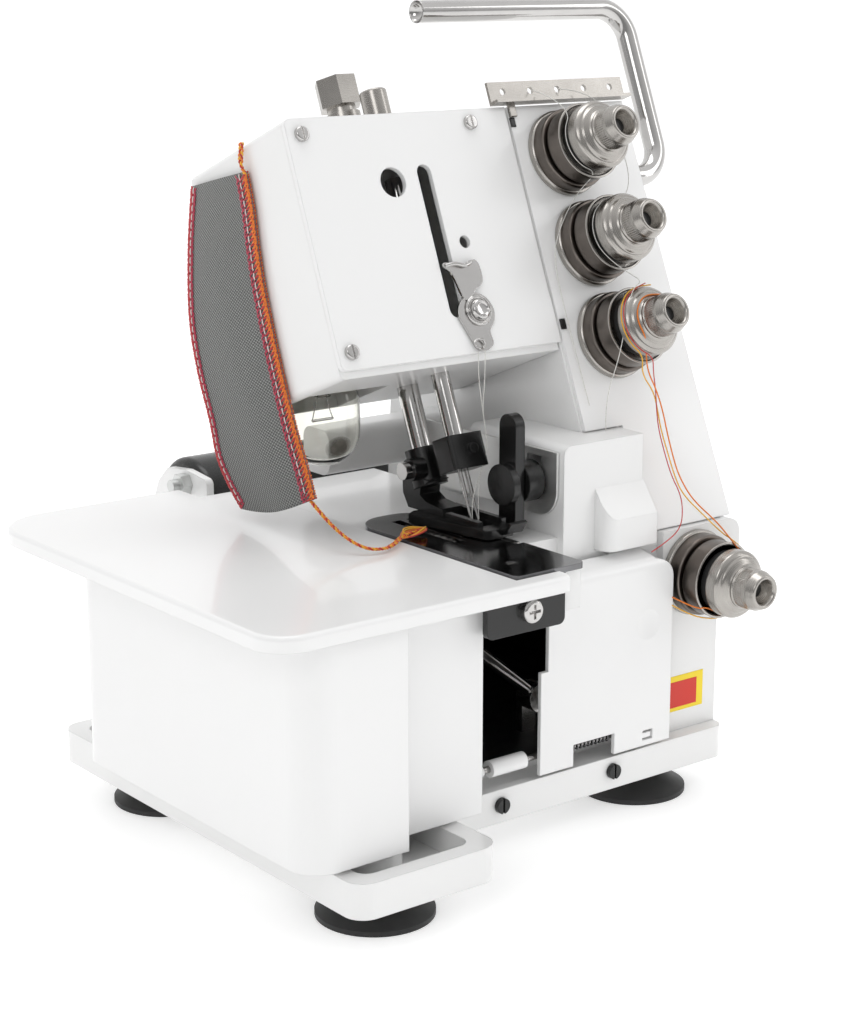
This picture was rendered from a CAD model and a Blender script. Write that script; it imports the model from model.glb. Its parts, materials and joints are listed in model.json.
"""The looks of a compact overlock machine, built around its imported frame.

Lengths are written in millimetres in the machine's layout, whose x = 0 and y = 0 lie near
the needle. at() turns them into metres in the frame.
"""

import json
from math import cos, hypot, pi, radians, sin

import bmesh
import bpy
from mathutils import Matrix, Vector


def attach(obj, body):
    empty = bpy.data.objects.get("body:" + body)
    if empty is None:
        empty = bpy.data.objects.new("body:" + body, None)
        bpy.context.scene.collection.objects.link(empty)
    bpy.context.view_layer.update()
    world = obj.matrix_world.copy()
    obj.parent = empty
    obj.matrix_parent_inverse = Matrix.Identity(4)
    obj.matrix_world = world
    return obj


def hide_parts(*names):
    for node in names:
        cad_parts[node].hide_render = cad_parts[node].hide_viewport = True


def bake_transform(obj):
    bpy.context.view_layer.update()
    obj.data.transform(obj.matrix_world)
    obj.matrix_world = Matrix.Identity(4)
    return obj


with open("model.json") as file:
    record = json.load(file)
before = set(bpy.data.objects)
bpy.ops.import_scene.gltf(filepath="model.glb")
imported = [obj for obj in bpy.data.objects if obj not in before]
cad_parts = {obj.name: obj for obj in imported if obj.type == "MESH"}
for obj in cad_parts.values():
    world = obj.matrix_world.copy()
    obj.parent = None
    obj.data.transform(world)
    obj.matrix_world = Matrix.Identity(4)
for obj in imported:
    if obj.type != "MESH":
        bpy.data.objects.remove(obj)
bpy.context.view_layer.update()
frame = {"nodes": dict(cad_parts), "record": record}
nodes = frame["nodes"]

MM = 0.001
MIDDLE = Vector((0.5, 22.25, 0.0))
TILT = radians(22)
UP = Vector((0, sin(TILT), cos(TILT)))
OUT = Vector((0, -cos(TILT), sin(TILT)))
FACE_FOOT = Vector((0, -23.0, 208.6))
HEAD_TURN = Matrix((Vector((1, 0, 0)), UP, OUT)).transposed().to_4x4()
HEAD_LEFT = -64.5

DIAL_SPOTS = ((80.6, 84.0), (83.2, 41.8), (82.9, -0.6))
DIAL_4 = (102.0, -60.0, 104.0)
DISC_RADIUS = 19.5
CAP_RADIUS = 15.2
KNOB_RADIUS = 9.0
POST_RADIUS = 4.0

LAMP_X, LAMP_Y = -38.0, 29.0

WORLD_LOW, WORLD_HIGH = 0.34, 0.9
KEY_POWER, SIDE_POWER, TOP_POWER = 5, 3.5, 8
FLOOR_GLOW = 0.34


def at(x, y, z):
    """A layout point in the frame."""
    return (Vector((x, y, z)) - MIDDLE) * MM


def on_head(x, v, n):
    """A point on the leaning face: x to the right, v up it, n out of it."""
    return at(*(FACE_FOOT + Vector((x, 0, 0)) + UP * v + OUT * n))


def head_place(x, v, n):
    """The place of a piece whose own z points out of the face."""
    return Matrix.Translation(on_head(x, v, n)) @ HEAD_TURN


def dial_place(number):
    if number == 4:
        return Matrix.Translation(at(*DIAL_4)) @ Matrix.Rotation(radians(90), 4, "X")
    return head_place(*DIAL_SPOTS[number - 1], 0)


# ---------------------------------------------------------------- camera
def make_camera():
    camera = bpy.data.objects.new("camera", bpy.data.cameras.new("camera"))
    bpy.context.scene.collection.objects.link(camera)
    camera.data.sensor_width = 36
    camera.data.lens = 77.43
    camera.location = at(-579.8, -738.6, 372.1)
    camera.rotation_euler = (radians(90 - 14.15), 0, radians(-38.08))
    bpy.context.scene.camera = camera


# ---------------------------------------------------------------- materials
class Nodes:
    """A short way to write a shader's node tree."""

    def __init__(self, name):
        self.material = bpy.data.materials.new(name)
        self.material.use_nodes = True
        self.tree = self.material.node_tree
        self.shader = self.tree.nodes["Principled BSDF"]

    def add(self, kind, inputs=(), **settings):
        node = self.tree.nodes.new("ShaderNode" + kind)
        for key, value in settings.items():
            setattr(node, key, value)
        for key, value in dict(inputs).items():
            self.put(node.inputs[key], value)
        return node

    def put(self, socket, value):
        if isinstance(value, bpy.types.NodeSocket):
            self.tree.links.new(value, socket)
        else:
            socket.default_value = value

    def set(self, **inputs):
        for key, value in inputs.items():
            self.put(self.shader.inputs[key.replace("_", " ")], value)

    def math(self, operation, first, second=0.0):
        return self.add("Math", {0: first, 1: second}, operation=operation).outputs[0]

    def place(self, stretch=(1, 1, 1), source="Object"):
        where = self.add("TexCoord").outputs[source]
        return self.add("Mapping", {"Vector": where, "Scale": stretch}).outputs[0]

    def noise(self, where, scale, detail=3.0):
        inputs = {"Vector": where, "Scale": scale, "Detail": detail}
        return self.add("TexNoise", inputs).outputs["Fac"]

    def ramp(self, factor, *stops):
        node = self.add("ValToRGB", {"Fac": factor})
        elements = node.color_ramp.elements
        while len(elements) < len(stops):
            elements.new(0.5)
        for element, (position, color) in zip(elements, stops):
            element.position = position
            element.color = (*color, 1)
        return node.outputs["Color"]

    def spread(self, factor, low, high):
        inputs = {"Value": factor, "To Min": low, "To Max": high}
        return self.add("MapRange", inputs).outputs["Result"]

    def bump(self, height, strength, distance):
        inputs = {"Height": height, "Strength": strength, "Distance": distance}
        return self.add("Bump", inputs).outputs["Normal"]


def shade(color, share):
    return tuple(min(1.0, channel * share) for channel in color)


def enamel(name, color):
    """Glossy paint: faint mottling in its colour, soft orange peel and edges worn round."""
    m = Nodes(name)
    where = m.place()
    edge = m.add("Bevel", {"Radius": 0.0007}, samples=4).outputs["Normal"]
    peel = m.add("Bump", {"Height": m.noise(where, 260, 1), "Strength": 0.05, "Distance": 0.00006,
        "Normal": edge})
    m.set(
        Base_Color=m.ramp(m.noise(where, 9, 2), (0.3, shade(color, 0.985)), (0.7, shade(color, 1.0))),
        Roughness=m.spread(m.noise(where, 40), 0.26, 0.33),
        Normal=peel.outputs["Normal"],
        Coat_Weight=0.4,
        Coat_Roughness=0.06,
    )
    return m.material


def metal(name, color, roughness, stretch=(1, 1, 1), grain=900, strength=0.12, tarnish=0.85):
    """Plated or ground steel, with drawn or turned marks along the unstretched axes."""
    m = Nodes(name)
    marks = m.noise(m.place(stretch), grain, 3)
    stain = m.noise(m.place(), 55, 5)
    m.set(
        Base_Color=m.ramp(stain, (0.35, shade(color, tarnish)), (0.65, color)),
        Metallic=1.0,
        Roughness=m.spread(marks, roughness * 0.75, roughness * 1.3),
        Normal=m.add("Bump", {
            "Height": marks, "Strength": strength, "Distance": 0.00005,
            "Normal": m.add("Bevel", {"Radius": 0.0004}, samples=4).outputs["Normal"],
        }).outputs["Normal"],
    )
    return m.material


def turned_metal(name, color, roughness):
    """Metal turned on a lathe: fine rings about the piece's own z axis."""
    m = Nodes(name)
    parts = m.add("SeparateXYZ", {0: m.place()})
    across = m.math("SQRT", m.math("ADD", m.math("POWER", parts.outputs[0], 2.0),
        m.math("POWER", parts.outputs[1], 2.0)))
    rings = m.add("CombineXYZ", {0: across, 1: parts.outputs[2]}).outputs[0]
    marks = m.noise(rings, 2600, 3)
    stain = m.noise(m.place(), 90, 5)
    m.set(
        Base_Color=m.ramp(stain, (0.3, shade(color, 0.86)), (0.7, color)),
        Metallic=1.0,
        Roughness=m.spread(marks, roughness * 0.8, roughness * 1.35),
        Normal=m.bump(marks, 0.25, 0.00005),
    )
    return m.material


def moulded(name, color, roughness, grain=1500, strength=0.25, spread=1.6, rounding=0.0004):
    """Plastic, rubber or blacked metal with a fine even grain."""
    m = Nodes(name)
    where = m.place()
    edge = m.add("Bevel", {"Radius": rounding}, samples=4).outputs["Normal"]
    fine = m.add("Bump", {"Height": m.noise(where, grain, 2), "Strength": strength, "Distance": 0.00005,
        "Normal": edge})
    m.set(
        Base_Color=m.ramp(m.noise(where, 45, 4), (0.3, color), (0.75, shade(color, spread))),
        Roughness=m.spread(m.noise(where, 120), roughness * 0.8, roughness * 1.25),
        Normal=fine.outputs["Normal"],
    )
    return m.material


def clear_glass():
    m = Nodes("clear_glass")
    m.set(
        Base_Color=m.ramp(m.noise(m.place(), 30), (0.3, (0.93, 0.93, 0.88)), (0.7, (0.98, 0.98, 0.96))),
        Roughness=m.spread(m.noise(m.place(), 80), 0.0, 0.03),
        Transmission_Weight=1.0,
        IOR=1.35,
    )
    return m.material


def woven_cloth():
    """Plain weave: pale warp and dark weft threads that pass over and under."""
    m = Nodes("woven_cloth")
    where = m.place((1, 1, 1), "UV")
    parts = m.add("SeparateXYZ", {0: where})
    per_metre = 2 * pi / 0.0016
    warp = m.math("SINE", m.math("MULTIPLY", parts.outputs[0], per_metre))
    weft = m.math("SINE", m.math("MULTIPLY", parts.outputs[1], per_metre))
    over = m.math("MULTIPLY", warp, weft)
    fuzz = m.noise(where, 2500, 3)
    height = m.math("ADD", m.math("MULTIPLY", over, 0.5), fuzz)
    color = m.ramp(
        m.math("ADD", m.math("MULTIPLY", over, 0.33), m.math("MULTIPLY", fuzz, 0.9)),
        (0.2, (0.045, 0.046, 0.045)), (0.5, (0.17, 0.175, 0.168)), (0.85, (0.37, 0.375, 0.36)),
    )
    m.set(Base_Color=color, Roughness=0.9, Normal=m.bump(height, 0.7, 0.0003), Sheen_Weight=0.25,
        Sheen_Roughness=0.5)
    return m.material


def spun_thread(name, color):
    """Spun polyester: tone that changes along the yarn, and a fuzzy twist."""
    m = Nodes(name)
    where = m.place()
    twist = m.noise(where, 2600, 2)
    m.set(
        Base_Color=m.ramp(twist, (0.25, shade(color, 0.62)), (0.7, color)),
        Roughness=0.62,
        Normal=m.bump(twist, 0.6, 0.0001),
        Sheen_Weight=0.2,
    )
    return m.material


def smoked_spot():
    """A dark stain on the bulb's inside that fades at its edge."""
    m = Nodes("smoked_spot")
    parts = m.add("VectorMath", {0: m.place()}, operation="LENGTH").outputs["Value"]
    edge = m.add("MapRange", {"Value": parts, "From Min": 0.0035, "From Max": 0.0069, "To Min": 0.9,
        "To Max": 0.0})
    m.set(
        Base_Color=m.ramp(m.noise(m.place(), 300), (0.3, (0.05, 0.045, 0.035)), (0.8, (0.12, 0.11, 0.09))),
        Roughness=0.5,
        Alpha=edge.outputs["Result"],
    )
    return m.material


MATERIAL = {
    "white_enamel": enamel("white_enamel", (0.86, 0.86, 0.855)),
    "white_sheet": enamel("white_sheet", (0.88, 0.88, 0.878)),
    "black_plastic": moulded("black_plastic", (0.006, 0.006, 0.006), 0.24, 900, 0.1, 1.5, 0.0012),
    "black_metal": moulded("black_metal", (0.005, 0.005, 0.005), 0.24, 1200, 0.12, 1.8, 0.0006),
    "rubber": moulded("rubber", (0.012, 0.012, 0.012), 0.5, 900, 0.3),
    "nickel": turned_metal("nickel", (0.43, 0.41, 0.385), 0.25),
    "chrome": metal("chrome", (0.56, 0.55, 0.54), 0.10, (1, 1, 0.04), 1400, 0.04, 0.93),
    "dark_steel": metal("dark_steel", (0.20, 0.20, 0.205), 0.15, (1, 0.03, 1), 1600, 0.06, 0.8),
    "tool_steel": metal("tool_steel", (0.40, 0.39, 0.38), 0.2, (0.05, 1, 1), 1200, 0.1),
    "zinc": metal("zinc", (0.62, 0.63, 0.62), 0.34),
    "brass": metal("brass", (0.62, 0.46, 0.24), 0.3),
    "glass": clear_glass(),
    "cloth": woven_cloth(),
    "thread": spun_thread("orange_thread", (0.95, 0.24, 0.015)),
}
ORANGE = MATERIAL["thread"]
YELLOW = spun_thread("yellow_thread", (0.98, 0.52, 0.03))
RED = spun_thread("red_thread", (0.62, 0.03, 0.03))
PINK = spun_thread("crimson_thread", (0.60, 0.05, 0.10))
WHITE = spun_thread("white_thread", (0.85, 0.84, 0.80))
DRUM = turned_metal("drum_nickel", (0.17, 0.15, 0.135), 0.28)
BRIGHT_SHEET = metal("bright_sheet", (0.84, 0.84, 0.83), 0.42, (1, 0.05, 1), 900, 0.05, 0.95)
SMOKED = smoked_spot()
BAY_BLACK = moulded("bay_black", (0.006, 0.006, 0.006), 0.45, 700, 0.3)


# ---------------------------------------------------------------- mesh tools
def finish_piece(name, mesh, body, materials, place=None, replaces=(), sharp=32):
    """Link a mesh as a piece that rides on a body."""
    for material in materials:
        mesh.materials.append(material)
    for polygon in mesh.polygons:
        polygon.use_smooth = True
    mesh.set_sharp_from_angle(angle=radians(sharp))
    piece = bpy.data.objects.new(name, mesh)
    bpy.context.scene.collection.objects.link(piece)
    if place is not None:
        piece.matrix_world = place
    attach(piece, body)
    if replaces:
        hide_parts(*replaces)
    return piece


def to_mesh(name, bm):
    mesh = bpy.data.meshes.new(name)
    bmesh.ops.recalc_face_normals(bm, faces=bm.faces)
    bm.to_mesh(mesh)
    bm.free()
    return mesh


def lathe(bm, profile, segments=96, ripple=None):
    """Turn (radius, height) points in millimetres about z. ripple(angle, height) adds to the radius."""
    rings = []
    for radius, height in profile:
        ring = []
        for step in range(segments):
            angle = 2 * pi * step / segments
            reach = radius + (ripple(angle, height) if ripple else 0.0)
            ring.append(bm.verts.new((reach * cos(angle) * MM, reach * sin(angle) * MM, height * MM)))
        rings.append(ring)
    for low, high in zip(rings, rings[1:]):
        for step in range(segments):
            after = (step + 1) % segments
            bm.faces.new((low[step], low[after], high[after], high[step]))
    for ring, order in ((rings[0], -1), (rings[-1], 1)):
        if hypot(*ring[0].co.xy) > 1e-6:
            bm.faces.new(ring[::order])
    return bm


def rounded(points, radius, steps=4):
    """Round the corners of an open outline of (r, z) points."""
    spots = [Vector(point) for point in points]
    result = [spots[0]]
    for before, here, after in zip(spots, spots[1:], spots[2:]):
        reach = min(radius, (here - before).length * 0.45, (after - here).length * 0.45)
        start = here + (before - here).normalized() * reach
        end = here + (after - here).normalized() * reach
        for step in range(steps + 1):
            t = step / steps
            result.append(start * (1 - t) ** 2 + here * 2 * t * (1 - t) + end * t**2)
    result.append(spots[-1])
    return [tuple(spot) for spot in result]


def tube(bm, line, radius, sides=8, slot=0):
    """A closed tube of metres along a line of points."""
    rings = []
    side = None
    for index, spot in enumerate(line):
        run = (line[min(index + 1, len(line) - 1)] - line[max(index - 1, 0)]).normalized()
        if side is None:
            side = run.orthogonal().normalized()
        side = (side - run * side.dot(run)).normalized()
        lift = run.cross(side)
        ring = []
        for step in range(sides):
            angle = 2 * pi * step / sides
            ring.append(bm.verts.new(spot + (side * cos(angle) + lift * sin(angle)) * radius))
        rings.append(ring)
    for low, high in zip(rings, rings[1:]):
        for step in range(sides):
            after = (step + 1) % sides
            bm.faces.new((low[step], low[after], high[after], high[step])).material_index = slot
    bm.faces.new(rings[0][::-1]).material_index = slot
    bm.faces.new(rings[-1]).material_index = slot


def smooth_line(points, steps=8):
    """A Catmull-Rom line through points."""
    line = []
    last = len(points) - 1
    for index in range(last):
        a, b = points[max(index - 1, 0)], points[index]
        c, d = points[index + 1], points[min(index + 2, last)]
        for step in range(steps):
            t = step / steps
            line.append(
                0.5 * (2 * b + (c - a) * t + (2 * a - 5 * b + 4 * c - d) * t**2 + (3 * b - a - 3 * c + d) * t**3)
            )
    line.append(points[-1])
    return line


def line_length(line):
    return sum((after - here).length for here, after in zip(line, line[1:]))


# ---------------------------------------------------------------- cords
def spline_curve(name, points, radius):
    """An open NURBS curve with the route's points as its control points."""
    curve = bpy.data.curves.new(name, "CURVE")
    curve.dimensions = "3D"
    curve.bevel_depth = radius
    curve.bevel_resolution = 3
    curve.resolution_u = 8
    spline = curve.splines.new("NURBS")
    spline.points.add(len(points) - 1)
    for target, spot in zip(spline.points, points):
        target.co = (*spot, 1)
    spline.order_u = 3
    spline.use_endpoint_u = True
    spline.use_smooth = True
    return curve


def spline_line(points):
    """The points that a route's spline passes through."""
    guide = bpy.data.objects.new("guide", spline_curve("guide", points, 0))
    bpy.context.scene.collection.objects.link(guide)
    bpy.context.view_layer.update()
    mesh = bpy.data.meshes.new_from_object(guide)
    line = [vertex.co.copy() for vertex in mesh.vertices]
    bpy.data.objects.remove(guide)
    bpy.data.meshes.remove(mesh)
    return line


def resample(line, step):
    """Evenly spaced points along a line."""
    spots = [line[0].copy()]
    left = step
    for here, after in zip(line, line[1:]):
        run = (after - here).length
        covered = 0.0
        while run - covered >= left:
            covered += left
            spots.append(here.lerp(after, covered / run))
            left = step
        left -= run - covered
    return spots


def braid(bm, line, width, height, pitch, radius, phase=0.0):
    """Three strands that cross over each other along a line."""
    spots = resample(line, 0.35 * MM)
    for strand in range(3):
        path = []
        for index, spot in enumerate(spots):
            run = (spots[min(index + 1, len(spots) - 1)] - spots[max(index - 1, 0)]).normalized()
            side = run.cross(Vector((0.3, 0.2, 1))).normalized()
            lift = side.cross(run)
            turn = 2 * pi * (index * 0.35 / pitch + strand / 3) + phase
            wander = 1 + 0.25 * sin(index * 0.05 + strand)
            path.append(spot + (side * sin(turn) * width * wander + lift * sin(2 * turn) * height) * MM)
        tube(bm, path, radius * MM, 6, strand)


CHAIN_POINTS = [
    (-67, -3, 151), (-66.2, -10.5, 146), (-64.8, -18, 141.3), (-62.2, -25.5, 137.2), (-58, -31, 134.6),
    (-51, -33, 134), (-43.5, -29.5, 134), (-36.5, -24, 134.4), (-28.5, -20.5, 134.9), (-19, -20.3, 134.7),
]


def thread_chain():
    """The chain that the machine goes on making after the cloth has run out."""
    line = spline_line([at(*point) for point in CHAIN_POINTS])
    bm = bmesh.new()
    braid(bm, line, 0.62, 0.34, 4.6, 0.42)
    chain = finish_piece(
        "chain_strands", to_mesh("chain_strands", bm), "frame", [ORANGE, YELLOW, RED],
        replaces=["thread_chain"], sharp=80,
    )
    bm = bmesh.new()
    for number, (width, lift) in enumerate(((3.2, 0.5), (2.2, 1.1), (3.8, 0.2), (1.2, 0.7), (2.8, 1.6),
        (0.4, 0.4))):
        loop = [
            Vector((-36 + number, -23.5, 134.2)), Vector((-31, -22 + width, 134.6 + lift)),
            Vector((-25, -19.5 + width, 134.4 + lift)), Vector((-19, -19 + width * 0.4, 135)),
            Vector((-22, -21 - width * 0.6, 135 + lift)), Vector((-29, -22.6 - width * 0.5, 134.3)),
            Vector((-35 + number, -24, 134.1)),
        ]
        tube(bm, smooth_line([at(*spot) for spot in loop]), 0.33 * MM, 6, number % 3)
    tuft = finish_piece("chain_tuft", to_mesh("chain_tuft", bm), "frame", [ORANGE, YELLOW, RED],
        sharp=80)


def loose_thread(name, points, material, radius=0.26):
    """A sewing thread between two places on the machine."""
    curve = spline_curve(name, points, radius * MM)
    curve.materials.append(material)
    thread = bpy.data.objects.new(name, curve)
    bpy.context.scene.collection.objects.link(thread)
    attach(thread, "frame")
    line = spline_line(points)
    return thread


def round_dial(number, radius, height, *angles):
    """Points round a dial's axis, at angles counted from its right side upwards."""
    place = dial_place(number)
    return [place @ (Vector((radius * cos(radians(a)), radius * sin(radians(a)),
        height)) * MM) for a in angles]


def tension_threads():
    """Looper threads that come round the third dial, drop to the fourth and go in under the cover."""
    left = round_dial(3, 16.8, 26.5, 70, 105, 140, 175, 210, 240) + [on_head(*spot) for spot in (
        (78.8, -22, 18), (86.1, -30, 15), (86.7, -38, 14), (87.2, -47, 12.5), (88.9, -58.5, 11.5),
        (89.9, -67.5, 11), (92.4, -76.8, 10.5),
    )] + [at(*spot) for spot in ((96.5, -71, 133), (103, -76, 125))]
    left += round_dial(4, 18.6, 17, 70, 35, 0, -40, -80, -115) + [at(86, -74, 90), at(79, -68.5, 95)]
    loose_thread("looper_thread_left", left, YELLOW, 0.3)
    middle = round_dial(3, 11.6, 31.4, 60, 100, 140, 180, 220) + [on_head(*spot) for spot in (
        (77.5, -15, 25), (80.9, -21.5, 20), (86, -29.6, 17), (88.7, -38.8, 15), (89, -50, 14), (90, -61.3,
            13),
        (91.3, -69.3, 12.5), (97.1, -80.2, 11),
    )] + [at(101, -75, 130), at(106, -79, 122)]
    middle += round_dial(4, 15.2, 20.6, 60, 20, -20, -60, -100, -140) + [at(87, -78, 93), at(80, -69.5, 98)]
    loose_thread("looper_thread_middle", middle, ORANGE, 0.32)
    right = round_dial(3, 16.6, 28.0, 85, 120, 155, 190, 225, 255) + [on_head(*spot) for spot in (
        (84, -22, 20), (87.2, -29, 15.5), (85.5, -42.5, 13.5), (85.8, -51.4, 12.5), (87.5, -67.4, 11.5),
        (91.1, -75.7, 10.5),
    )] + [at(*spot) for spot in ((87.4, -67, 137.5), (84, -70, 129.5), (77.2, -69, 124), (70, -66, 119.5))]
    loose_thread("looper_thread_right", right, RED, 0.24)
    high = [on_head(69.3, 113.5, 2.2), on_head(69.6, 108, 12)] + round_dial(1, 15.2, 20.6, 125, 160, 195,
        230, 265)
    high += [on_head(75, 63, 8), on_head(66, 50, 3), on_head(59.4, 38, 1.6), on_head(58.6, 10, 1.4),
        on_head(60, -30, 1)]
    loose_thread("needle_thread_high", high, WHITE, 0.2)
    low = [on_head(85.2, 113.5, 2.2), on_head(96, 108, 14)] + [on_head(103, 86, 14), on_head(99, 66, 20)]
    low += round_dial(2, 15.2, 20.6, 60, 95, 130, 165, 200, 235) + [on_head(80, 22, 24)]
    low += round_dial(3, 17.2, 30, 95, 125) + [on_head(68, -12, 20), on_head(66, -30, 4),
        on_head(65, -45, 1.2)]
    loose_thread("needle_thread_low", low, WHITE, 0.2)


def needle_threads():
    """Two threads from the face guide to the needles. Their lower ends rise with the needles."""
    for name, start, eye in (("needle_thread_left", 5.8, -0.8), ("needle_thread_right", 9.6, 2.8)):
        spots = [
            on_head(start, 0.5, 1.4), on_head(start + 1, -10, -4), on_head(9.6, -22, -9.5),
            on_head(11.4, -32, -13.4), on_head(11.0, -40, -14.4), on_head(6.5, -49, -17.6),
            on_head(eye + 1, -60, -20.3), on_head(eye, -68, -21.2),
        ]
        bm = bmesh.new()
        line = spline_line(spots)
        tube(bm, line, 0.2 * MM, 6)
        mesh = to_mesh(name, bm)
        mesh.materials.append(WHITE)
        thread = bpy.data.objects.new(name, mesh)
        bpy.context.scene.collection.objects.link(thread)
        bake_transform(thread)


# ---------------------------------------------------------------- carried-over CAD nodes
def paint_nodes():
    """Each carried-over node takes the finish that the record gives it."""
    for entry in frame["record"]["subparts"]:
        node = nodes[entry["node"]]
        node.data.materials.clear()
        node.data.materials.append(MATERIAL[entry["material_slot"]])
    nodes["tension_posts"].data.materials[0] = MATERIAL["black_metal"]
    nodes["finger_guard"].data.materials[0] = BRIGHT_SHEET
    nodes["foot_clamp_screw"].data.materials[0] = MATERIAL["chrome"]


def blacken_bay():
    """The inside of the looper bay is black: every face of the housing that lies inside its walls."""
    body = nodes["machine_body"].data
    body.materials.append(BAY_BLACK)
    low, high = at(-38.5, -53.5, 33.5), at(114.5, 101.5, 117.5)
    for polygon in body.polygons:
        spot = polygon.center
        if all(low[axis] < spot[axis] < high[axis] for axis in range(3)):
            polygon.material_index = 1


# ---------------------------------------------------------------- tension dials
def knurl(angle, height):
    """Fine ridges round the knob's grip, fading out at its ends."""
    if not 34.0 < height < 39.6:
        return 0.0
    return 0.11 * cos(56 * angle)


def tension_dials():
    """Each dial is a bell with a stepped shoulder and a knurled knob with a deep conical recess."""
    bell = rounded(
        [(3.2, 23.6), (12.4, 23.6), (13.0, 22.5), (CAP_RADIUS, 22.5), (CAP_RADIUS, 28.0), (13.7, 29.3),
         (12.9, 29.5), (12.2, 30.4), (10.0, 31.4), (9.4, 32.1)], 1.0, 5,
    )
    grip = rounded([(9.4, 32.2), (9.5, 32.9), (KNOB_RADIUS, 33.4), (KNOB_RADIUS, 34.0)], 0.3, 3)
    grip += [(KNOB_RADIUS, 34.2 + 0.6 * step) for step in range(9)]
    tip = rounded(
        [(KNOB_RADIUS, 39.8), (KNOB_RADIUS, 40.6), (8.0, 43.0), (7.4, 44.5), (6.1, 44.6), (5.4, 43.6),
            (4.6, 41.4),
         (3.1, 38.7)], 0.8, 5,
    )
    for number in (1, 2, 3, 4):
        bm = lathe(bmesh.new(), bell + grip + tip, 224, knurl)
        finish_piece(
            f"dial_cap_{number}", to_mesh(f"dial_cap_{number}", bm), f"dial_{number}", [MATERIAL["nickel"]],
            dial_place(number), [f"tension_dial_{number}"], 40,
        )


def tension_disc_stacks():
    """Under each dial: a base dish, a dished drum and a black hub that leaves a dark gap."""
    dish = rounded([(POST_RADIUS, 0.1), (DISC_RADIUS, 0.1), (DISC_RADIUS, 2.6), (18.7, 3.3), (18.3, 3.3)],
        0.5)
    band = rounded([(18.3, 3.3), (18.4, 8.2), (17.9, 9.2), (16.4, 9.2), (POST_RADIUS, 9.0)], 0.5)
    drum = rounded([(5, 9.0), (15.0, 9.2), (16.6, 10.0), (17.0, 11.2), (17.0, 18.4), (16.6, 18.9)], 0.7)
    rim = rounded([(16.6, 18.9), (17.3, 18.7), (17.3, 19.2), (16.4, 19.4), (15.2, 18.4), (5, 18.2)], 0.25)
    hub = rounded([(4.2, 18.2), (13.8, 18.2), (13.8, 22.2), (4.2, 22.2)], 0.3)
    for number in (1, 2, 3, 4):
        for label, profiles, material, slot in (
            ("disc_rims", (dish, rim), MATERIAL["nickel"], "nickel"), ("disc_drums", (band, drum), DRUM,
                "nickel"),
            ("disc_hub", (hub,), MATERIAL["rubber"], "rubber"),
        ):
            bm = bmesh.new()
            for profile in profiles:
                lathe(bm, profile, 128)
            name = f"{label}_{number}"
            finish_piece(name, to_mesh(name, bm), "frame", [material], dial_place(number),
                (), 40)
    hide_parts("tension_discs")


# ---------------------------------------------------------------- lamp
def lamp():
    """A clear bulb: thin glass, a stem with two wires and a filament, and a smoked spot."""
    outer = [(0.01, 156.6), (5, 157.4), (9.5, 159.6), (13.2, 163), (15.6, 167.4), (16.4, 172), (16.4, 180),
             (16.0, 187), (14.2, 193), (11.0, 198), (8.6, 201.5), (7.6, 205), (7.5, 208)]
    inner = [(max(radius - 0.6, 0.01), height + (0.6 if height < 160 else 0.0)) for radius,
        height in reversed(outer)]
    bm = lathe(bmesh.new(), smooth_profile(outer) + smooth_profile(inner), 96)
    place = Matrix.Translation(at(LAMP_X, LAMP_Y, 0))
    finish_piece("bulb_glass", to_mesh("bulb_glass", bm), "frame", [MATERIAL["glass"]], place,
        ["lamp_bulb"], 80)
    bm = lathe(bmesh.new(), rounded([(0.01, 190), (2.2, 190.5), (3.0, 194), (5.2, 203), (7.0, 207)], 1.0), 48)
    finish_piece("bulb_stem", to_mesh("bulb_stem", bm), "frame", [MATERIAL["glass"]], place)
    bm = bmesh.new()
    for side in (-1, 1):
        wire = [Vector((side * 1.2, 0, 204)), Vector((side * 1.4, 0, 192)), Vector((side * 3.2, 0.5, 184)),
                Vector((side * 5.5, 0, 177))]
        tube(bm, smooth_line([spot * MM for spot in wire]), 0.22 * MM, 8)
    coil = [Vector((-5.5 + 11 * step / 160, 0.55 * sin(step * 0.9),
        177 + 0.55 * cos(step * 0.9))) * MM for step in range(161)]
    tube(bm, coil, 0.12 * MM, 5)
    ring = [Vector((3.4 * cos(step * pi / 24), 3.4 * sin(step * pi / 24), 187.5)) * MM for step in range(49)]
    tube(bm, ring, 0.3 * MM, 8)
    finish_piece("bulb_wires", to_mesh("bulb_wires", bm), "frame", [MATERIAL["tool_steel"]], place)
    smoked_patch(place)


def smoked_patch(place):
    """The smoked spot, laid on the glass low on its right side."""
    bearing, middle, reach = radians(-99), 167.0, 6.6
    center = Vector((16.7 * cos(bearing), 16.7 * sin(bearing), middle))
    bm = bmesh.new()
    rings = []
    for ring in range(9):
        spots = []
        for step in range(36):
            turn = 2 * pi * step / 36
            out = reach * ring / 8
            angle = bearing + out * cos(turn) / 16.5
            height = middle + 0.85 * out * sin(turn)
            radius = (16.5**2 - max(0.0, 172.5 - height) ** 2) ** 0.5 + 0.22
            spots.append(bm.verts.new((Vector((radius * cos(angle), radius * sin(angle),
                height)) - center) * MM))
        rings.append(spots)
    for near, far in zip(rings, rings[1:]):
        for step in range(36):
            after = (step + 1) % 36
            bm.faces.new((near[step], near[after], far[after], far[step]))
    bmesh.ops.remove_doubles(bm, verts=bm.verts, dist=1e-6)
    where = place @ Matrix.Translation(center * MM)
    finish_piece("bulb_spot", to_mesh("bulb_spot", bm), "frame", [SMOKED], where)


def smooth_profile(points):
    line = smooth_line([Vector((radius, height, 0)) for radius, height in points], 4)
    return [(spot.x, spot.y) for spot in line]


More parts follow.
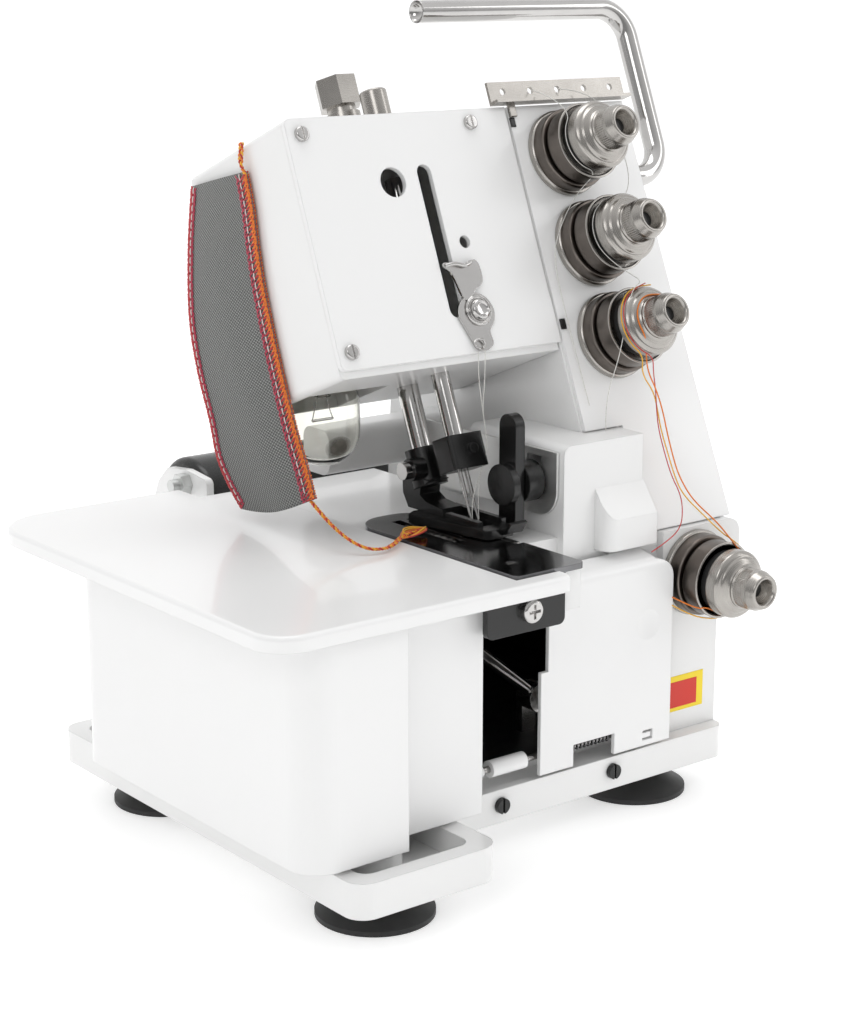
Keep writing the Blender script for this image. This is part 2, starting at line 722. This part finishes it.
# ---------------------------------------------------------------- cloth sample
FRONT_EDGE = [(41.7, 284.8), (37.2, 270.6), (34.0, 254.1), (29.6, 236.3), (20.4, 209.2), (8.9, 181.1),
    (0.7, 165.4), (-5.5, 152.4)]
BACK_EDGE = [(84.1, 275.2), (86.2, 248.9), (85.6, 218.0), (79.8, 194.9), (71.2, 173.8), (66.5, 158.0),
    (58.8, 147.3), (48.6, 137.6)]
ROWS, COLUMNS = 96, 36


def edge_line(points):
    line = smooth_line([Vector((0, y, z)) for y, z in points], 24)
    spots = resample(line, line_length(line) / ROWS * 0.99999)
    return (spots + [line[-1]])[: ROWS + 1]


def cloth_grid():
    """Rows of points across the strip, from its top edge to its foot, in the machine's layout."""
    front, back = edge_line(FRONT_EDGE), edge_line(BACK_EDGE)
    grid = []
    for row, (near, far) in enumerate(zip(front, back)):
        down = row / ROWS
        line = []
        for column in range(COLUMNS + 1):
            across = column / COLUMNS
            spot = near.lerp(far, across)
            spot.z -= 3.2 * sin(pi * across) * down**3
            bow = -2.6 * sin(pi * across) * (0.35 + 0.65 * down) - 2.2 * sin(pi * down) * across
            ripple = 0.9 * sin(2.4 * pi * across + 3.1 * down) * down**2
            spot.x = HEAD_LEFT - 2.0 + bow + ripple
            line.append(spot)
        grid.append(line)
    return grid


def settle_cloth(strip):
    """A short cloth simulation. Every vertex is partly pinned, so the strip keeps its drawn shape."""
    pins = strip.vertex_groups.new(name="pins")
    for row in range(ROWS + 1):
        for column in range(COLUMNS + 1):
            hold = max(1.0 if row < 3 else 0.0, 0.9 - column / 8, 0.32)
            pins.add([row * (COLUMNS + 1) + column], hold, "REPLACE")
    cloth = strip.modifiers.new("cloth", "CLOTH")
    cloth.settings.vertex_group_mass = "pins"
    cloth.settings.pin_stiffness = 6.0
    cloth.settings.mass = 0.18
    cloth.settings.tension_stiffness = 40
    cloth.settings.compression_stiffness = 40
    cloth.settings.shear_stiffness = 20
    cloth.settings.bending_stiffness = 1.2
    cloth.collision_settings.use_collision = False
    cloth.point_cache.frame_start = 1
    cloth.point_cache.frame_end = 18
    for step in range(1, 19):
        bpy.context.scene.frame_set(step)
    bpy.context.view_layer.objects.active = strip
    graph = bpy.context.evaluated_depsgraph_get()
    settled = bpy.data.meshes.new_from_object(strip.evaluated_get(graph))
    strip.modifiers.clear()
    strip.data = settled
    bpy.context.scene.frame_set(1)


def cloth_strip():
    grid = cloth_grid()
    bm = bmesh.new()
    rows = [[bm.verts.new(at(*spot)) for spot in line] for line in grid]
    weave = bm.loops.layers.uv.new("UVMap")
    width, height = 0.0478, 0.152
    for row in range(ROWS):
        for column in range(COLUMNS):
            corners = ((row, column), (row, column + 1), (row + 1, column + 1), (row + 1, column))
            face = bm.faces.new([rows[a][b] for a, b in corners])
            for loop, (a, b) in zip(face.loops, corners):
                loop[weave].uv = (b / COLUMNS * width, a / ROWS * height)
    mesh = to_mesh("cloth_strip", bm)
    for polygon in mesh.polygons:
        polygon.use_smooth = True
    strip = bpy.data.objects.new("cloth_strip", mesh)
    bpy.context.scene.collection.objects.link(strip)
    settle_cloth(strip)
    strip.data.materials.clear()
    strip.data.materials.append(MATERIAL["cloth"])
    surface = [[strip.data.vertices[row * (COLUMNS + 1) + column].co.copy() for column in range(COLUMNS + 1)]
               for row in range(ROWS + 1)]
    thick = strip.modifiers.new("thickness", "SOLIDIFY")
    thick.thickness = 0.0007
    thick.offset = 0
    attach(strip, "frame")
    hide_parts("cloth_sample")
    edges = [
        edge_stitches("front_edge_stitches", surface, 0, 1, 7.4, (RED, ORANGE, PINK, WHITE)),
        edge_stitches("back_edge_stitches", surface, COLUMNS, -1, 4.2, (PINK, RED, PINK, WHITE)),
        top_tail(),
    ]


def edge_stitches(name, surface, column, inward, reach, colors):
    """Overlock stitches round a long edge. colors are its zigzag, outer, inner and needle threads."""
    edge = [line[column] for line in surface]
    inner = [line[column + inward * 6] for line in surface]
    bm = bmesh.new()
    quarter = 0.55 * MM
    spots = resample(smooth_line(edge, 4), quarter)
    count = len(spots)
    frames = []
    for index, spot in enumerate(spots):
        share = index / (count - 1) * (len(edge) - 1)
        row = min(int(share), len(edge) - 2)
        goal = inner[row].lerp(inner[row + 1], share - row)
        run = (spots[min(index + 1, count - 1)] - spots[max(index - 1, 0)]).normalized()
        into = goal - spot
        into = (into - run * into.dot(run)).normalized()
        face = run.cross(into)
        if face.x > 0:
            face = -face
        frames.append((spot, into, face))

    def over(index, depth, lift):
        spot, into, face = frames[max(0, min(index, count - 1))]
        return spot + into * depth * MM + face * lift * MM

    def zigzag(first, near, far, lift, radius, thread):
        line = []
        for index in range(first, count, 4):
            line += [over(index, near, lift), over(index + 3, (near + far) / 2, lift + 0.12),
                over(index + 5, far, lift)]
            line += [over(index + 4, (near + far) / 2, lift + 0.2)]
        tube(bm, smooth_line(line, 2), radius * MM, 5, thread)

    for side in (1, -1):
        zigzag(0, -0.3, reach * 0.62, 0.6 * side, 0.33, 0)
        zigzag(2, -0.35, reach * 0.38, 0.7 * side, 0.3, 1)
        zigzag(1, reach * 0.55, reach, 0.6 * side, 0.27, 2)
    for offset, depth, thread in ((0, 0.2, 1), (2, 1.1, 1), (1, reach * 0.9, 2)):
        wave = [over(index, depth + 0.4 * sin(index * pi / 3 + offset), 0.8) for index in range(count)]
        tube(bm, smooth_line(wave, 2), 0.26 * MM, 5, thread)
    for start in range(0, count - 6, 7):
        dash = [over(start + step, reach * 0.58, 1.15 - 0.1 * abs(step - 2.5)) for step in range(6)]
        tube(bm, dash, 0.27 * MM, 6, 3)
    return finish_piece(name, to_mesh(name, bm), "frame", list(colors), sharp=80)


def top_tail():
    """The short chain left at the strip's top, caught over the head's upper edge."""
    spots = [Vector((-66.8, 41.5, 283)), Vector((-67.2, 44.5, 287)), Vector((-66.9, 45.2, 291)),
        Vector((-66.0, 45.8, 296.5))]
    bm = bmesh.new()
    braid(bm, smooth_line([at(*spot) for spot in spots]), 0.75, 0.4, 4.4, 0.4, 1.0)
    return finish_piece("top_tail", to_mesh("top_tail", bm), "frame", [ORANGE, YELLOW, RED],
        sharp=80)


# ---------------------------------------------------------------- trim on the head
LOWER_GUIDE = [(0.2, 15.7), (0.9, 20), (4.6, 24), (10.7, 26), (16.6, 23.7), (19.8, 18), (18.6, 12.8),
    (15.2, 8.8),
               (15.4, 3.4), (11.7, 0.6), (6.5, 1.2), (4.2, 5.6), (2.4, 10.2)]
UPPER_GUIDE = [(-2.2, 39.6), (-0.3, 40.0), (8.6, 38.4), (11.8, 39.8), (15.8, 39.6), (17.2, 34.3),
    (16.2, 29.4),
               (12.2, 27.2), (8.8, 24.2), (4.6, 23.6), (1.5, 34.2), (-1.6, 37.6)]
GUIDE_SCREW = (11.0, 18.0)


def slab(bm, outline, low, high):
    """A flat plate between two heights from a smooth outline, in millimetres."""
    spots = smooth_line([Vector((x, y, 0)) for x, y in outline + outline[:1]], 5)[:-1]
    bottom = [bm.verts.new((spot.x * MM, spot.y * MM, low * MM)) for spot in spots]
    top = [bm.verts.new((spot.x * MM, spot.y * MM, high * MM)) for spot in spots]
    bm.faces.new(bottom[::-1])
    bm.faces.new(top)
    for step in range(len(spots)):
        after = (step + 1) % len(spots)
        bm.faces.new((bottom[step], bottom[after], top[after], top[step]))


def face_guide():
    """The polished thread guide low on the face plate, under a ringed washer and a domed screw."""
    bm = bmesh.new()
    slab(bm, LOWER_GUIDE, 0.2, 1.3)
    slab(bm, UPPER_GUIDE, 0.9, 2.2)
    loop = [Vector((7 + 2.6 * cos(turn * pi / 12), 3.4 + 2.2 * sin(turn * pi / 12),
        2.2 + 0.5 * sin(turn * pi / 6))) * MM
            for turn in range(25)]
    tube(bm, loop, 0.55 * MM, 8)
    fold = [Vector((x, y, z)) * MM for x, y, z in ((-1.6, 38.6, 2.4), (3, 38.8, 3.4), (8, 37.6, 3.6),
        (12, 38.8, 3.2))]
    tube(bm, smooth_line(fold), 0.9 * MM, 8)
    plate = finish_piece(
        "face_guide_plate", to_mesh("face_guide_plate", bm), "frame", [MATERIAL["chrome"]], head_place(0, 0,
            0),
        ["face_thread_guide"], 30,
    )
    edge = plate.modifiers.new("edge", "BEVEL")
    edge.width = 0.3 * MM
    edge.segments = 3
    rings = rounded(
        [(2, 1.3), (6.6, 1.3), (6.9, 1.9), (6.4, 2.5), (5.6, 2.3), (5.2, 1.9), (4.9, 2.4), (4.8, 3.4),
            (4.2, 4.6),
         (3.2, 5.0), (2.6, 4.2), (0.01, 4.0)], 0.35, 4,
    )
    finish_piece(
        "guide_screw_head", to_mesh("guide_screw_head", lathe(bmesh.new(), rings, 96)), "frame",
        [MATERIAL["chrome"]], head_place(*GUIDE_SCREW, 0), ["thread_guide_screw"], 40,
    )


def head_trim():
    """Two black latch notches at the head's right edge and the bright tab above the first dial."""
    for name, low, high, depth, material, slot in (
        ("notch_high", (54.6, 97.6), (57.6, 101.8), 0.5, MATERIAL["black_plastic"], "black_plastic"),
        ("notch_low", (55.2, 5.2), (58.4, 10.0), 0.7, MATERIAL["black_plastic"], "black_plastic"),
        ("panel_tab", (54.8, 102.0), (58.8, 108.6), 1.6, MATERIAL["nickel"], "nickel"),
    ):
        bm = bmesh.new()
        corners = [(low[0], low[1]), (high[0], low[1]), (high[0], high[1]), (low[0], high[1])]
        bottom = [bm.verts.new((x * MM, y * MM, 0.05 * MM)) for x, y in corners]
        top = [bm.verts.new((x * MM, y * MM, depth * MM)) for x, y in corners]
        bm.faces.new(bottom[::-1])
        bm.faces.new(top)
        for step in range(4):
            after = (step + 1) % 4
            bm.faces.new((bottom[step], bottom[after], top[after], top[step]))
        piece = finish_piece(name, to_mesh(name, bm), "frame", [material], head_place(0, 0, 0))
        edge = piece.modifiers.new("edge", "BEVEL")
        edge.width = 0.4 * MM
        edge.segments = 3


# ---------------------------------------------------------------- small trim
def label():
    """A plain two-colour label on the lower housing."""
    for name, low, high, depth, color in (
        ("label_border", (84, 39.4), (110.2, 56.2), 0.12, (0.93, 0.70, 0.02)),
        ("label_field", (84, 41.2), (106.2, 53.4), 0.2, (0.66, 0.025, 0.01)),
    ):
        bm = bmesh.new()
        corners = [(low[0], low[1]), (high[0], low[1]), (high[0], high[1]), (low[0], high[1])]
        front = [bm.verts.new(at(x, -60 - depth, z)) for x, z in corners]
        back = [bm.verts.new(at(x, -59.98, z)) for x, z in corners]
        bm.faces.new(front)
        bm.faces.new(back[::-1])
        for step in range(4):
            after = (step + 1) % 4
            bm.faces.new((front[step], back[step], back[after], front[after]))
        finish_piece(name, to_mesh(name, bm), "frame", [moulded(name, color, 0.4, 800, 0.1, 1.05)])


# ---------------------------------------------------------------- stage
def studio():
    """A pale floor that rises behind the object into a pale wall, well out of reach."""
    bm = bmesh.new()
    outline = [(-9, 0), (-4, 0), (0, 0), (1.4, 0), (2.2, 0), (3.4, 0.25), (4.1, 1.1), (4.3, 2.4), (4.3, 7)]
    away = Vector((sin(radians(38)), cos(radians(38)), 0))
    across = Vector((away.y, -away.x, 0))
    rows = [[bm.verts.new(away * depth + across * side + Vector((0, 0, high))) for side in (-12, 12)]
            for depth, high in outline]
    for low, high in zip(rows, rows[1:]):
        bm.faces.new((low[0], low[1], high[1], high[0]))
    mesh = to_mesh("floor", bm)
    for polygon in mesh.polygons:
        polygon.use_smooth = True
    m = Nodes("floor")
    tone = m.noise(m.place(), 2, 3)
    m.set(
        Base_Color=m.ramp(tone, (0.3, (0.895, 0.895, 0.895)), (0.7, (0.905, 0.905, 0.905))),
        Roughness=0.75,
        Emission_Color=(1, 1, 1, 1),
        Emission_Strength=FLOOR_GLOW,
    )
    mesh.materials.append(m.material)
    sweep = bpy.data.objects.new("floor", mesh)
    bpy.context.scene.collection.objects.link(sweep)
    bend = sweep.modifiers.new("bend", "SUBSURF")
    bend.levels = 2
    bend.render_levels = 2


def area_light(name, place, aim, size, power):
    light = bpy.data.lights.new(name, "AREA")
    light.shape = "RECTANGLE"
    light.size, light.size_y = size
    light.energy = power
    source = bpy.data.objects.new(name, light)
    bpy.context.scene.collection.objects.link(source)
    source.location = place
    direction = Vector(aim) - Vector(place)
    source.rotation_euler = direction.to_track_quat("-Z", "Y").to_euler()


def lights():
    """A room that is bright behind and above and dimmer in front, so that metal shows dark bands."""
    world = bpy.data.worlds.new("studio")
    bpy.context.scene.world = world
    world.use_nodes = True
    tree = world.node_tree
    where = tree.nodes.new("ShaderNodeTexCoord")
    facing = tree.nodes.new("ShaderNodeVectorMath")
    facing.operation = "DOT_PRODUCT"
    facing.inputs[1].default_value = (0.40, 0.50, 0.77)
    level = tree.nodes.new("ShaderNodeMapRange")
    level.inputs["From Min"].default_value = -0.35
    level.inputs["From Max"].default_value = 0.45
    level.inputs["To Min"].default_value = WORLD_LOW
    level.inputs["To Max"].default_value = WORLD_HIGH
    tree.links.new(where.outputs["Generated"], facing.inputs[0])
    tree.links.new(facing.outputs["Value"], level.inputs["Value"])
    tree.links.new(level.outputs["Result"], tree.nodes["Background"].inputs["Strength"])
    tree.nodes["Background"].inputs["Color"].default_value = (1, 1, 1, 1)
    area_light("key", (-1.5, -1.1, 1.3), (0, 0, 0.15), (0.8, 0.8), KEY_POWER)
    area_light("side", (1.6, -1.2, 0.8), (0, 0, 0.15), (0.4, 1.4), SIDE_POWER)
    area_light("top", (0.1, 0.2, 1.9), (0, 0, 0.2), (1.2, 0.8), TOP_POWER)
    bpy.context.scene.view_settings.view_transform = "Standard"


make_camera()
thread_chain()
tension_threads()
needle_threads()
paint_nodes()
blacken_bay()
tension_dials()
tension_disc_stacks()
lamp()
cloth_strip()
label()
face_guide()
head_trim()
studio()
lights()
